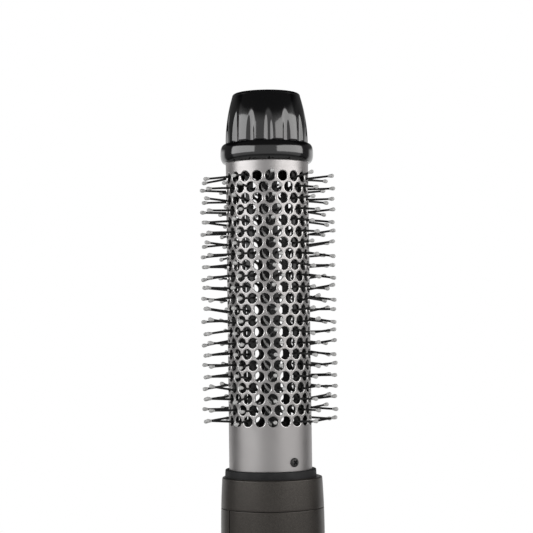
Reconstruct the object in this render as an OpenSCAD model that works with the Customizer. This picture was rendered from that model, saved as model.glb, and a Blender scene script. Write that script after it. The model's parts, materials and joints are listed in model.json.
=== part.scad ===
// Hot air brush with a perforated metal barrel and bristles that retract when the tip knob is turned.
//
// Frame: +Z runs up the barrel towards the tip, z = 0 is the rim that the brush stands on, and the
// barrel's axis is the Z axis. The switch faces -Y. Azimuths are measured from -Y towards +X.
// Everything is in millimetres.

/* [Barrel] */
// Outer diameter of the perforated barrel
barrel_d = 34; // [32:0.5:36]
// Wall thickness of the barrel
barrel_wall = 0.6; // [0.5:0.1:0.8]
// Diameter of each hole in the barrel
hole_d = 4.1; // [3.9:0.1:4.2]
// Number of rows of holes, from the base to the tip
hole_rows = 23; // [11:2:23]
// Distance between two rows along the barrel
row_pitch = 4.5; // [4.4:0.05:4.5]
// Azimuth of the first hole of an odd row
hole_phase = 6; // [0:1:17]

/* [Bristles] */
// Number of bristle strips inside the barrel
strip_count = 10; // [10]
// Diameter over the ball tips of the whole brush
brush_d = 56.2; // [52:0.2:56.4]
// Diameter of a bristle
bristle_d = 0.95; // [0.8:0.05:1]
// Diameter of the ball at the end of a bristle
ball_d = 1.6; // [1.4:0.1:1.7]
// How far the strips move inwards when the knob is turned
retract_travel = 10; // [6:0.5:10]
// How far the knob turns to retract the bristles, in degrees
knob_turn = 90; // [80:5:100]
// Largest lean of a bristle along the barrel, in degrees
lean_along = 10; // [0:1:10]
// Largest lean of a bristle around the barrel, in degrees
lean_around = 3.5; // [0:0.5:3.5]

/* [Tip] */
// Height of the fluted knob
knob_h = 20.7; // [18:0.1:24]
// Number of flutes round the knob
flute_count = 14; // [8:1:18]
// Radius of the cutter that makes a flute
flute_r = 2.2; // [1.8:0.1:2.3]
// Azimuth of the first flute
flute_phase = -5.3; // [-12:0.1:12]
// How far the ring at the tip stands out from the barrel
ring_bulge = 2.17; // [1:0.1:3]

/* [Handle] */
// Height of the handle, from the standing rim to its nose
handle_h = 168; // [168:1:172]
// Radius of the handle at its waist
waist_r = 17.8; // [17.6:0.1:19]
// Radius of the handle at its widest point, near the nose
belly_r = 21.2; // [21:0.1:23]
// Radius of the handle's tail
tail_r = 19.2; // [18.5:0.1:20]
// Wall thickness of the handle
shell_wall = 2.2; // [2:0.1:2.4]
// How far the handle's axis lies towards the switch from the barrel's axis
handle_shift = 1; // [0:0.1:1.2]
// Number of air slots round the tail
slot_count = 20; // [12:1:24]

/* [Switch] */
// Height of the switch's middle above the standing rim
switch_z = 104; // [100:1:106]
// Travel of the slider over its four settings
switch_travel = 9; // [6:1:9]

/* [Cord inlet] */
// Bore of the swivelling gland that takes the cord
gland_bore_d = 7.2; // [6:0.1:7.4]

/* [Hidden] */
$fn = 64;
eps = 0.01;
run_gap = 0.06; // radial clearance of a running fit

barrel_r = barrel_d / 2;
barrel_in = barrel_r - barrel_wall;
hole_pitch_deg = 18; // between neighbouring holes of one row
holes_around = 360 / hole_pitch_deg;

// heights of the barrel's assembly
collar_z = handle_h;
collar_h = 4;
barrel_z0 = handle_h + 1;
barrel_screw_z = handle_h + 7.5;
barrel_screw_count = 2;
first_row_z = handle_h + 24;
last_row_z = first_row_z + (hole_rows - 1) * row_pitch;
ring_z0 = last_row_z + 6.3;
ring_h = 8.1;
ring_z1 = ring_z0 + ring_h;
barrel_z1 = ring_z0 + 5.7;
knob_z0 = ring_z1 + 0.2;
knob_z1 = knob_z0 + knob_h;

// retracting mechanism
strip_deg = 360 / strip_count;
strip_phase = hole_phase + hole_pitch_deg / 4; // a strip serves two neighbouring columns of holes
column_x = barrel_r * sin(hole_pitch_deg / 4);
bar_out = 16;
bar_in = 14.8;
bar_w_out = 3.7;
bar_w_in = 2.6;
bar_z0 = first_row_z - 2.8;
bar_z1 = last_row_z + 3.3;
lug_w = 1.4;
lug_in = 13.5;
lug_out = 15.2;
lug_mid = (lug_in + lug_out) / 2;
peg_r = 0.7;
guide_gap = 0.1;
guide_h = 1.8;
guide_r = barrel_in - 0.05;
guide_lower_z = first_row_z - 6;
guide_upper_z = last_row_z + 4;
cam_h = 3.4;
cam_r = barrel_in - 0.5;
cam_gap = 0.4;
cam_lower_z = guide_lower_z - cam_gap - cam_h;
cam_upper_z = guide_upper_z + guide_h + cam_gap;
shaft_r = 2.5;
shaft_z0 = barrel_screw_z + 1.9;
shaft_z1 = knob_z0 + 12.6;
hub_r = 6;
flute_depth = 0.93;
washer_r = 9.5;

// bristles
ball_r = ball_d / 2;
ball_at = brush_d / 2 - ball_r;
lean_middle = 6; // a leaning bristle crosses the middle of its hole this far out from the bar

// socket that carries the barrel
socket_z0 = handle_h - 18;
socket_z1 = cam_lower_z - 0.4;
socket_r = barrel_r;
socket_in = 15;

// handle
waist_z = 55;
belly_z = 142;
nose_drop = 0.7;
nose_z0 = handle_h - 12;
cap_z1 = 28;
seam = 0.15; // half of the gap where two outer parts of the handle meet
profile_step = 2;

// motor and fan, on the handle's axis
fan_z = 45;
fan_h = 9;
motor_z0 = 58;
motor_z1 = 86;
motor_r = 12.2;
motor_shaft_r = 1;
duct_r = 15.2;
duct_z0 = 40;
duct_z1 = 90;

// heater, on the barrel's axis
heater_z0 = 120;
heater_z1 = 166;
heater_r = 11;
coil_wire_r = 0.4;
coil_turns = 6;
sleeve_r = 14.4;

// tail
tail_floor_z = 3.2;
tail_floor_h = 2.4;
rim_r0 = 13.4;
gland_r = 6;

// ---- shared shapes and functions ----

function smooth(u) = u * u * (3 - 2 * u);

// Outer radius of the handle at height z
function handle_r(z) =
    z < waist_z ? waist_r + (tail_r - waist_r) * smooth((waist_z - z) / waist_z)
    : z < belly_z ? waist_r + (belly_r - waist_r) * smooth((z - waist_z) / (belly_z - waist_z))
    : belly_r - nose_drop * pow((z - belly_z) / (handle_h - belly_z), 2.5);

// Outer radius of the knob at height z, before the flutes
function knob_r(z) = barrel_r - 2.9 * pow((z - knob_z0) / (knob_h - 1.3), 2);

// Radius of the tip ring at a share u of its half height above or below its middle
function ring_r(u) = barrel_r + ring_bulge * pow(1 - pow(abs(u), 2.4), 1 / 2.4);

// Points of an arc in the plane of a lathe profile, from angle a0 to a1 in n steps
function arc(cx, cz, r, a0, a1, n) =
    [for (i = [0:n]) let (a = a0 + (a1 - a0) * i / n) [cx + r * cos(a), cz + r * sin(a)]];

// A number from -1 to 1 that looks random and is the same each time
function scatter(n, k) = 2 * (n * n * k - floor(n * n * k)) - 1;

function row_z(i) = first_row_z + i * row_pitch;

// Turns children that point along -Y to the azimuth a
module at_azimuth(a) rotate([0, 0, a]) children();

module ring_of(n, phase = 0) for (i = [0:n - 1]) at_azimuth(phase + i * 360 / n) children();

module on_handle_axis() translate([0, -handle_shift, 0]) children();

// A cylinder along -Y, from radius r0 to radius r1
module spoke(r, r0, r1) translate([0, -r0, 0]) rotate([90, 0, 0]) cylinder(r = r, h = r1 - r0);

module disc(r, z, h) translate([0, 0, z]) cylinder(r = r, h = h);

module tube(r_out, r_in, z0, z1) difference() {
    disc(r_out, z0, z1 - z0);
    disc(r_in, z0 - eps, z1 - z0 + 2 * eps);
}

module lathe(points) rotate_extrude() polygon(points);

// A plate in the XZ plane with round corners, its outer face at y = -t
module round_plate(w, h, t, r) {
    translate([-w / 2 + r, -t, -h / 2]) cube([w - 2 * r, t, h]);
    translate([-w / 2, -t, -h / 2 + r]) cube([w, t, h - 2 * r]);
    for (x = [-1, 1], z = [-1, 1])
        translate([x * (w / 2 - r), 0, z * (h / 2 - r)]) rotate([90, 0, 0]) cylinder(r = r, h = t);
}

// A screw along -Y with its head outwards: the head's underside is at y = 0
module screw(shank_r, shank_l, head_r, head_h) difference() {
    union() {
        spoke(head_r, 0, head_h * 0.6);
        translate([0, -head_h * 0.6, 0]) rotate([90, 0, 0])
            cylinder(r1 = head_r, r2 = head_r * 0.72, h = head_h * 0.4);
        spoke(shank_r, -shank_l, 0);
    }
    for (a = [0, 90]) rotate([0, a + 45, 0])
        translate([-head_r * 0.6, -head_h - eps, -head_r * 0.11])
            cube([head_r * 1.2, head_h * 0.65, head_r * 0.22]);
}

// ---- tip ----

module tip_knob() color([0.05, 0.05, 0.05]) {
    edge = 1.3; // rounding of the knob's top edge
    top_r = knob_r(knob_z1 - edge);
    wall = 1.8;
    cavity_z1 = knob_z1 - 4;
    difference() {
        lathe(concat(
            [[0, knob_z0]],
            [for (z = [knob_z0:1:knob_z1 - edge - 0.5]) [knob_r(z), z]],
            arc(top_r - edge, knob_z1 - edge, edge, 0, 90, 6),
            [[7.2, knob_z1], [7.2, knob_z1 - 1.2], [0, knob_z1 - 1.2]]));
        // flutes die out where the knob narrows past their innermost point
        ring_of(flute_count, flute_phase) translate([0, -barrel_r + flute_depth - flute_r, knob_z0 - 1])
            cylinder(r = flute_r, h = knob_h + 2, $fn = 32);
        lathe([[hub_r, knob_z0 - eps], [barrel_r - 1.35 - wall, knob_z0 - eps],
               [barrel_r - 1.35 - wall, knob_z0 + 8], [top_r - edge - wall, cavity_z1], [hub_r, cavity_z1]]);
        disc(shaft_r, knob_z0 - eps, shaft_z1 - knob_z0 + eps);
        disc(1.25, shaft_z1 - eps, knob_h);
        disc(2.7, knob_z1 - 4.6, 5);
    }
    tube(hub_r, shaft_r, cam_upper_z + cam_h, knob_z0 + eps);
    tube(washer_r, hub_r - 1, knob_z0, knob_z0 + 1.6);
}

module knob_cap() color([0.08, 0.08, 0.08]) {
    disc(7.1, knob_z1 - 1.2, 1);
    tube(2.6, 1.9, knob_z1 - 2.2, knob_z1 - 1.2 + eps);
}

module knob_screw() color("gray") {
    head_z = knob_z1 - 4.6;
    difference() {
        disc(2.5, head_z, 1.8);
        for (a = [0, 90]) rotate([0, 0, a]) translate([-1.5, -0.25, head_z + 0.7]) cube([3, 0.5, 2]);
    }
    disc(1.2, shaft_z1 - 7, head_z - shaft_z1 + 7 + eps);
}

module friction_washer() color("silver") tube(washer_r, hub_r + run_gap, ring_z1 - 0.5, knob_z0 - 0.05);

module drive_shaft() color("silver") difference() {
    union() {
        disc(shaft_r, shaft_z0, shaft_z1 - shaft_z0);
        disc(shaft_r + 1, cam_lower_z + cam_h, 0.3);
    }
    disc(1.2, shaft_z1 - 7, 8);
}

// A plate with one spiral slot for each strip. Turning it by an angle moves every peg in by the same share.
module scroll_cam(z) {
    slot_r = peg_r + 0.15;
    rate = retract_travel / (knob_turn * PI / 180);
    steps = 12;
    // where a peg stands in the plate after a turn t
    function peg(t) = (lug_mid - retract_travel * t / knob_turn) * [-sin(t), -cos(t)];
    // direction of the slot's outer side there
    function outwards(t) = let (r = norm(peg(t)), n = norm([r, rate]))
        [-r * sin(t) - rate * cos(t), -r * cos(t) + rate * sin(t)] / n;
    function turned(v, a) = [v.x * cos(a) - v.y * sin(a), v.x * sin(a) + v.y * cos(a)];
    // half a circle round the end of the slot at turn t
    function slot_end(t, from) = [for (a = [0:30:180]) peg(t) + slot_r * turned(outwards(t), from - a)];
    difference() {
        disc(cam_r, z, cam_h);
        disc(shaft_r, z - eps, cam_h + 2 * eps);
        ring_of(strip_count, strip_phase) translate([0, 0, z - eps])
            linear_extrude(cam_h + 2 * eps) polygon(concat(
                slot_end(0, 180),
                [for (i = [1:steps - 1]) let (t = i * knob_turn / steps) peg(t) + slot_r * outwards(t)],
                slot_end(knob_turn, 0),
                [for (i = [steps - 1:-1:1]) let (t = i * knob_turn / steps) peg(t) - slot_r * outwards(t)]));
    }
}

module scroll_cam_upper() color([0.75, 0.73, 0.68]) scroll_cam(cam_upper_z);

module scroll_cam_lower() color([0.75, 0.73, 0.68]) scroll_cam(cam_lower_z);

module tip_ring() color([0.05, 0.05, 0.05]) {
    middle = ring_z0 + ring_h / 2;
    lathe(concat(
        [[barrel_r + 0.03, ring_z0]],
        [for (i = [-9:9]) let (u = sin(i * 10)) [ring_r(u), middle + u * ring_h / 2]],
        [[washer_r + 0.1, ring_z1], [washer_r + 0.1, ring_z1 - 0.5], [hub_r + run_gap, ring_z1 - 0.5],
         [hub_r + run_gap, barrel_z1], [barrel_r + 0.03, barrel_z1]]));
}

module guide_plate(z) difference() {
    disc(guide_r, z, guide_h);
    disc(shaft_r + run_gap, z - eps, guide_h + 2 * eps);
    slot_w = lug_w + 2 * guide_gap;
    slot_in = lug_in - retract_travel - 0.15;
    ring_of(strip_count, strip_phase)
        translate([-slot_w / 2, -lug_out - 0.15, z - eps])
            cube([slot_w, lug_out + 0.15 - slot_in, guide_h + 2 * eps]);
    ring_of(strip_count, strip_phase + strip_deg / 2)
        translate([0, -11.6, z - eps]) cylinder(r = 2.1, h = guide_h + 2 * eps, $fn = 24);
}

module guide_plate_upper() color([0.3, 0.3, 0.32]) guide_plate(guide_upper_z);

module guide_plate_lower() color([0.3, 0.3, 0.32]) guide_plate(guide_lower_z);

// ---- barrel ----

module barrel() color([0.72, 0.7, 0.68]) difference() {
    tube(barrel_r, barrel_in, barrel_z0, barrel_z1);
    for (i = [0:hole_rows - 1]) translate([0, 0, row_z(i)])
        ring_of(holes_around, hole_phase + (i % 2) * hole_pitch_deg / 2)
            spoke(hole_d / 2, barrel_in - 1, barrel_r + 1);
    translate([0, 0, barrel_screw_z]) ring_of(barrel_screw_count) spoke(1, barrel_in - 1, barrel_r + 1);
}

module barrel_screws() color([0.1, 0.1, 0.1])
    translate([0, 0, barrel_screw_z]) ring_of(barrel_screw_count)
        translate([0, -barrel_r, 0]) screw(0.9, 2.6, 1.85, 0.8);

module barrel_socket() color([0.12, 0.12, 0.12]) {
    step_z = barrel_z0;
    difference() {
        union() {
            tube(socket_r, socket_in, socket_z0, step_z);
            tube(barrel_in - 0.05, socket_in - 0.8, step_z - 1, socket_z1);
        }
        translate([0, 0, barrel_screw_z]) ring_of(barrel_screw_count) spoke(0.9, socket_in - 2, barrel_r);
    }
    // spider that carries the shaft's lower end
    hub_z = barrel_screw_z + 1.7;
    tube(4.4, shaft_r + run_gap, hub_z, hub_z + 2.2);
    ring_of(3, 60) translate([-1, -socket_in + 0.4, hub_z]) cube([2, socket_in - 4.6, 2.2]);
}

module collar() color([0.14, 0.14, 0.14]) {
    top = collar_z + collar_h;
    lathe(concat(
        [[barrel_r + 0.05, collar_z], [18.8, collar_z]],
        arc(18.1, top - 0.5, 0.5, 0, 90, 4),
        [[barrel_r + 0.05, top]]));
}

// ---- bristles ----

// Places children on bristle i of strip n, with +Z along the bristle and the origin on the bar's face
module on_bristle(n, i) {
    m = n * hole_rows + i + 1;
    along = lean_along * scatter(m, 0.6180339887);
    around = lean_around * scatter(m, 0.7548776662);
    side = i % 2 == 0 ? -1 : 1;
    translate([side * column_x, -bar_out, row_z(i) - lean_middle * tan(along)])
        rotate([-along, 0, around]) rotate([90, 0, 0]) children();
}

module bristle_strip(n) color([0.09, 0.09, 0.09]) at_azimuth(strip_phase + n * strip_deg) {
    reach = ball_at - bar_out - 0.2;
    translate([0, 0, bar_z0]) linear_extrude(bar_z1 - bar_z0)
        polygon([[-bar_w_in / 2, -bar_in], [bar_w_in / 2, -bar_in],
                 [bar_w_out / 2, -bar_out], [-bar_w_out / 2, -bar_out]]);
    for (i = [0:hole_rows - 1]) on_bristle(n, i)
        translate([0, 0, -0.7]) cylinder(d = bristle_d, h = reach + 0.7, $fn = 24);
    // lugs that slide in the guide plates, and pegs that run in the cams
    for (end = [[bar_z0, cam_lower_z + cam_h + 0.1, cam_lower_z + 0.3, 1],
                [bar_z1, cam_upper_z - 0.1, cam_upper_z + cam_h - 0.3, -1]]) {
        low = min(end[0] + 3 * end[3], end[1]);
        translate([-lug_w / 2, -lug_out, low]) cube([lug_w, lug_out - lug_in, abs(end[0] + 3 * end[3] - end[1])]);
        translate([0, -lug_mid, min(end[1], end[2])])
            cylinder(r = peg_r, h = abs(end[1] - end[2]), $fn = 24);
    }
}

module ball_tips(n) color([0.72, 0.72, 0.7]) at_azimuth(strip_phase + n * strip_deg) {
    reach = ball_at - bar_out;
    neck = 1.7;
    for (i = [0:hole_rows - 1]) on_bristle(n, i) difference() {
        union() {
            translate([0, 0, reach]) sphere(r = ball_r, $fn = 32);
            translate([0, 0, reach - neck])
                cylinder(r1 = bristle_d / 2 + 0.06, r2 = ball_r * 0.976, h = neck - ball_r * 0.21, $fn = 32);
        }
        translate([0, 0, reach - neck - 1]) cylinder(d = bristle_d, h = neck + 0.8, $fn = 24);
    }
}

// ---- heater ----

module heater_cross() color([0.85, 0.8, 0.65]) difference() {
    for (a = [0, 90]) rotate([0, 0, a])
        translate([-heater_r, -0.4, heater_z0]) cube([2 * heater_r, 0.8, heater_z1 - heater_z0]);
    for (a = [0, 90], x = [-5.5, 5.5], z = [heater_z0 + 10, heater_z1 - 12]) rotate([0, 0, a])
        translate([x, 1, z]) rotate([90, 0, 0]) cylinder(r = 1.5, h = 2, $fn = 24);
}

// Resistance wire wound round the cross as one helix
module heater_coil() color([0.6, 0.58, 0.55]) {
    sides = 6;
    per_turn = 24;
    rings = coil_turns * per_turn;
    rise = (heater_z1 - heater_z0 - 10) / rings;
    r = heater_r + coil_wire_r + 0.05;
    points = [for (i = [0:rings], s = [0:sides - 1])
        let (a = i * 360 / per_turn, b = s * 360 / sides, q = r + coil_wire_r * cos(b))
        [q * cos(a), q * sin(a), heater_z0 + 5 + i * rise + coil_wire_r * sin(b)]];
    walls = [for (i = [0:rings - 1], s = [0:sides - 1]) let (t = (s + 1) % sides)
        each [[i * sides + s, (i + 1) * sides + s, (i + 1) * sides + t],
              [i * sides + s, (i + 1) * sides + t, i * sides + t]]];
    caps = [[for (s = [0:sides - 1]) s], [for (s = [sides - 1:-1:0]) rings * sides + s]];
    polyhedron(points, concat(walls, caps));
}

module heater_sleeve() color([0.8, 0.76, 0.66]) tube(sleeve_r, sleeve_r - 0.5, heater_z0 - 4, handle_h);

module thermostat() color([0.75, 0.75, 0.75]) {
    translate([-4, -2.2, heater_z1]) cube([8, 4.4, 1]);
    disc(3.4, heater_z1 + 1 - eps, 2.6);
    translate([0, 5.2, heater_z1]) cylinder(r = 1.4, h = 6, $fn = 24);
    translate([-0.6, 2, heater_z1]) cube([1.2, 3.4, 0.6]);
}

// ---- handle ----

// The handle's wall from z0 to z1, pared down by inset outside and by wall inside
module handle_wall(z0, z1, inset = 0, wall = shell_wall) {
    steps = ceil((z1 - z0) / profile_step);
    heights = [for (i = [0:steps]) z0 + (z1 - z0) * i / steps];
    lathe(concat(
        [for (z = heights) [handle_r(z) - inset, z]],
        [for (i = [steps:-1:0]) [handle_r(heights[i]) - wall, heights[i]]]));
}

module nose_ring() color([0.27, 0.25, 0.23]) {
    edge = 1;
    top_r = handle_r(handle_h - edge);
    // ring with a rounded nose, bored for the barrel's socket
    difference() {
        on_handle_axis() lathe(concat(
            [[0, nose_z0 + seam]],
            [for (z = [nose_z0 + seam:1:handle_h - edge - 0.4]) [handle_r(z), z]],
            arc(top_r - edge, handle_h - edge, edge, 0, 90, 5),
            [[0, handle_h]]));
        disc(socket_r + 0.05, nose_z0 - 1, 20);
    }
    // spigot that centres the two shells
    difference() {
        on_handle_axis() disc(handle_r(nose_z0) - shell_wall - 0.05, nose_z0 - 5, 5 + seam + eps);
        disc(socket_r + 0.05, nose_z0 - 6, 8);
    }
}

shell_screw_z = [104, 143];
shell_boss_r = 2.1;

// How far from the middle the screw bosses stand at height z
function boss_x(z) = handle_r(z) - shell_wall - shell_boss_r + 0.4;

module at_shell_screws() for (z = shell_screw_z, x = [-1, 1])
    translate([x * boss_x(z), -handle_shift, z]) children();

module grip_shell(front) {
    reach = 60;
    difference() {
        union() {
            on_handle_axis() handle_wall(cap_z1 + seam, nose_z0 - seam);
            intersection() {
                at_shell_screws() rotate([90, 0, 0]) cylinder(r = shell_boss_r, h = 24, center = true, $fn = 32);
                on_handle_axis() handle_wall(cap_z1 + seam, nose_z0 - seam, inset = 0.5, wall = handle_r(0) * 0.9);
            }
        }
        translate([-reach / 2, -handle_shift + (front ? -seam * 0.7 : -reach + seam * 0.7), 0])
            cube([reach, reach, handle_h]);
        if (front) {
            switch_place() translate([0, 5, 0]) round_plate(13.2, 28.2, 8, 3.1);
            at_shell_screws() spoke(0.85, 0, 8.5);
        } else {
            at_shell_screws() spoke(1.15, -20, 1);
            at_shell_screws() spoke(2.2, -20, -6.5);
        }
    }
}

module grip_shell_front() color([0.25, 0.235, 0.22]) grip_shell(true);

module grip_shell_rear() color([0.25, 0.235, 0.22]) grip_shell(false);

module shell_screws() color("gray") at_shell_screws()
    translate([0, 6.5, 0]) rotate([0, 0, 180]) screw(0.85, 13, 2, 1.4);

// ---- switch ----

// Slope of the handle's wall at the switch, in degrees
switch_slope = atan((handle_r(switch_z + 2) - handle_r(switch_z - 2)) / 4);
stem_w = 3;

// Moves children to the crest of the handle at the switch: +Z along the slider's travel, -Y outwards
module switch_place() translate([0, -handle_shift - handle_r(switch_z), switch_z])
    rotate([switch_slope, 0, 0]) children();

module switch_plate() color([0.08, 0.08, 0.08]) switch_place() difference() {
    union() {
        translate([0, 2.6, 0]) round_plate(13, 28, 2.8, 3);
        translate([0, -0.2 + eps, 0]) round_plate(11.8, 26.8, 0.3, 2.6);
    }
    translate([-stem_w / 2 - 0.2, -2, -stem_w / 2 - switch_travel / 2 - 0.3])
        cube([stem_w + 0.4, 6, stem_w + switch_travel + 0.6]);
    // setting marks, one for each stop
    for (i = [0:3]) translate([4.9, -1, -switch_travel / 2 + i * switch_travel / 3])
        rotate([-90, 0, 0]) cylinder(r = 0.4, h = 0.7, $fn = 16);
}

module switch_slider() color([0.75, 0.75, 0.74]) switch_place() translate([0, 0, -switch_travel / 2]) {
    cap_h = 11;
    difference() {
        translate([0, -0.6, 0]) round_plate(7.6, cap_h, 2, 1.6);
        for (z = [-3:1.5:3]) translate([-5, -2.6, z]) rotate([0, 90, 0]) cylinder(r = 0.45, h = 10, $fn = 24);
    }
    translate([-stem_w / 2, -0.7, -stem_w / 2]) cube([stem_w, 5.6, stem_w]);
}

module switch_body() color([0.15, 0.15, 0.15]) switch_place() difference() {
    translate([-4.5, 2.7, -10]) cube([9, 5.4, 20]);
    translate([-stem_w / 2 - 0.2, 2, -stem_w / 2 - switch_travel / 2 - 0.3])
        cube([stem_w + 0.4, 3.2, stem_w + switch_travel + 0.6]);
}

module rectifier_board() color([0.2, 0.45, 0.25]) {
    board_z = 93;
    translate([-10, 7, board_z]) difference() {
        cube([20, 1.6, 20]);
        for (x = [2.5, 17.5]) translate([x, 2, 2.5]) rotate([90, 0, 0]) cylinder(r = 1.2, h = 3, $fn = 24);
    }
    // four diodes
    for (i = [0:3]) translate([-6 + i * 4, 5.6, board_z + 6]) cylinder(r = 1.4, h = 5, $fn = 24);
}

// ---- motor and fan ----

module motor_can() color([0.7, 0.7, 0.72]) on_handle_axis() {
    tube(motor_r, motor_r - 1, motor_z0, motor_z1 - 1.4);
    tube(motor_r, 3, motor_z0, motor_z0 + 1);
    tube(3, motor_shaft_r + 0.05, motor_z0 - 1.5, motor_z0 + 2.5);
}

module motor_end_bell() color([0.15, 0.15, 0.15]) on_handle_axis() {
    tube(motor_r, motor_shaft_r + 0.05, motor_z1 - 1.4, motor_z1);
    for (x = [-8, 8]) translate([x - 0.4, -1.2, motor_z1 - eps]) cube([0.8, 2.4, 4]);
}

module motor_magnets() color([0.3, 0.3, 0.3]) on_handle_axis() difference() {
    tube(motor_r - 1, 9.4, motor_z0 + 3, motor_z1 - 5);
    translate([-motor_r, -3, motor_z0]) cube([2 * motor_r, 6, 30]);
}

module motor_armature() color([0.6, 0.45, 0.3]) on_handle_axis() {
    disc(motor_shaft_r, fan_z - 1, motor_z1 + 1.5 - fan_z);
    difference() {
        disc(9, motor_z0 + 4, motor_z1 - motor_z0 - 12);
        ring_of(5) translate([-0.8, -10, motor_z0]) cube([1.6, 4, 30]);
    }
}

module motor_grommet() color([0.1, 0.1, 0.1]) on_handle_axis()
    tube(13, motor_r, motor_z0 + 4, motor_z1 - 6);

module fan_impeller() color([0.9, 0.9, 0.9]) on_handle_axis() difference() {
    union() {
        disc(4.8, fan_z, fan_h);
        intersection() {
            ring_of(9) translate([0, -4, fan_z + fan_h / 2]) rotate([0, 35, 0])
                translate([-0.5, -12, -6]) cube([1, 12, 12]);
            tube(duct_r - 1.4, 4, fan_z, fan_z + fan_h);
        }
    }
    disc(motor_shaft_r, fan_z - eps, fan_h + 1);
}

module fan_duct() color([0.35, 0.35, 0.37]) on_handle_axis() {
    tube(duct_r, duct_r - 0.8, duct_z0, duct_z1);
    ring_of(6, 30) translate([-0.6, -duct_r + 0.4, motor_z0 + 4]) cube([1.2, duct_r - 13.4, 18]);
}

// ---- tail ----

module tail_cap() color([0.25, 0.235, 0.22]) on_handle_axis() {
    edge = 3;
    top = cap_z1 - seam;
    slot_w = 1.8;
    difference() {
        lathe(concat(
            [[gland_r + run_gap, tail_floor_z], [rim_r0, tail_floor_z], [rim_r0, 0]],
            arc(handle_r(edge) - edge, edge, edge, -90, 0, 6),
            [for (z = [edge + 2:profile_step:top - 1]) [handle_r(z), z]],
            [[handle_r(top), top], [handle_r(top) - shell_wall, top],
             [tail_r - shell_wall - 0.6, tail_floor_z + tail_floor_h + 3],
             [tail_r - shell_wall - 1.6, tail_floor_z + tail_floor_h],
             [gland_r + run_gap, tail_floor_z + tail_floor_h]]));
        // air slots
        ring_of(slot_count) translate([-slot_w / 2, -tail_r - 2, 9.5]) cube([slot_w, 8, 12]);
    }
    // spigot that centres the two shells
    spigot_r = handle_r(top + 5) - shell_wall - 0.05;
    tube(spigot_r + 0.8, spigot_r - 1.3, top - 4, top - 2);
    tube(spigot_r, spigot_r - 1.3, top - 3, top + 5);
}

module inlet_filter() color([0.5, 0.5, 0.5]) on_handle_axis() {
    r = 14;
    z = cap_z1 + 3;
    tube(r, r - 1.2, z, z + 1.6);
    intersection() {
        disc(r - 1, z + 0.4, 0.8);
        for (i = [-4:4]) {
            translate([i * 2.8 - 0.3, -r, z + 0.4]) cube([0.6, 2 * r, 0.8]);
            translate([-r, i * 2.8 - 0.3, z + 0.4]) cube([2 * r, 0.6, 0.8]);
        }
    }
}

module swivel_gland() color([0.08, 0.08, 0.08]) on_handle_axis() {
    bore = gland_bore_d / 2;
    top = tail_floor_z + tail_floor_h + 2.2;
    lathe(concat(
        [[bore, 0.6], [7.6, 0.6]],
        arc(8.2, 1.4, 0.8, -90, 0, 4),
        [[9, tail_floor_z - 0.15], [gland_r, tail_floor_z - 0.15],
         [gland_r, top - 2], [gland_r - 0.7, top - 2], [gland_r - 0.7, top - 0.8], [gland_r, top - 0.8],
         [gland_r - 0.5, top], [bore, top]]));
}

module gland_retainer() color("silver") on_handle_axis() {
    top = tail_floor_z + tail_floor_h + 2.2;
    difference() {
        tube(8.4, gland_r - 0.6, top - 1.85, top - 0.9);
        translate([-1.2, -10, top - 3]) cube([2.4, 6, 4]);
    }
}

// ---- assembly ----

tip_knob();
knob_cap();
knob_screw();
friction_washer();
drive_shaft();
scroll_cam_upper();
scroll_cam_lower();
tip_ring();
guide_plate_upper();
guide_plate_lower();
barrel();
barrel_screws();
barrel_socket();
collar();
for (n = [0:strip_count - 1]) {
    label = str(n < 9 ? "0" : "", n + 1);
    bristle_strip(n);
    ball_tips(n);
}
heater_cross();
heater_coil();
heater_sleeve();
thermostat();
nose_ring();
grip_shell_front();
grip_shell_rear();
shell_screws();
switch_slider();
switch_plate();
switch_body();
rectifier_board();
motor_can();
motor_end_bell();
motor_magnets();
motor_armature();
motor_grommet();
fan_impeller();
fan_duct();
tail_cap();
inlet_filter();
swivel_gland();
gland_retainer();
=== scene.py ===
"""Looks of a round hot air brush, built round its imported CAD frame.

Lengths below are millimetres in the frame's own axes, and become metres where a mesh is made:
+Z runs up the barrel to the tip knob, and -Y points out of the switch. Azimuths are degrees
from -Y towards +X.
"""

import json
import math

import bmesh
import bpy
from mathutils import Matrix, Vector


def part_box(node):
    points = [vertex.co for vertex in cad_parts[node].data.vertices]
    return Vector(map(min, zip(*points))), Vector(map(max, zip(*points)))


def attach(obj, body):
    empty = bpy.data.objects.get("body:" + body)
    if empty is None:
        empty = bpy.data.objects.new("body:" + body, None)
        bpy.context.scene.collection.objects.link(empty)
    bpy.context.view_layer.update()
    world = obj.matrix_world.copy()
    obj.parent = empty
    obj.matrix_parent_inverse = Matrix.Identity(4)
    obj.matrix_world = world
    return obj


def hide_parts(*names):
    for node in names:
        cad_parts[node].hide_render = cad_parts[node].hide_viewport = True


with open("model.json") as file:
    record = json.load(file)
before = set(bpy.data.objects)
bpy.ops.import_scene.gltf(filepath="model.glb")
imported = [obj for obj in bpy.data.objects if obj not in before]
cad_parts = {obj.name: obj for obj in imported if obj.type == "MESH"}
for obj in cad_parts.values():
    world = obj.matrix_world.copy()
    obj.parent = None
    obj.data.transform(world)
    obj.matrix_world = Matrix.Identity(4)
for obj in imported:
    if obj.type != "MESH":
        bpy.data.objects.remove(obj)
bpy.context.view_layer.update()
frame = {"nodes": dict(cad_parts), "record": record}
MM = 0.001

# ---------------------------------------------------------------- sizes


def low(node):
    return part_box(node)[0].z / MM


def high(node):
    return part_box(node)[1].z / MM


def half_width(node):
    lo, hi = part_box(node)
    return (hi.x - lo.x) / 2 / MM


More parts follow.
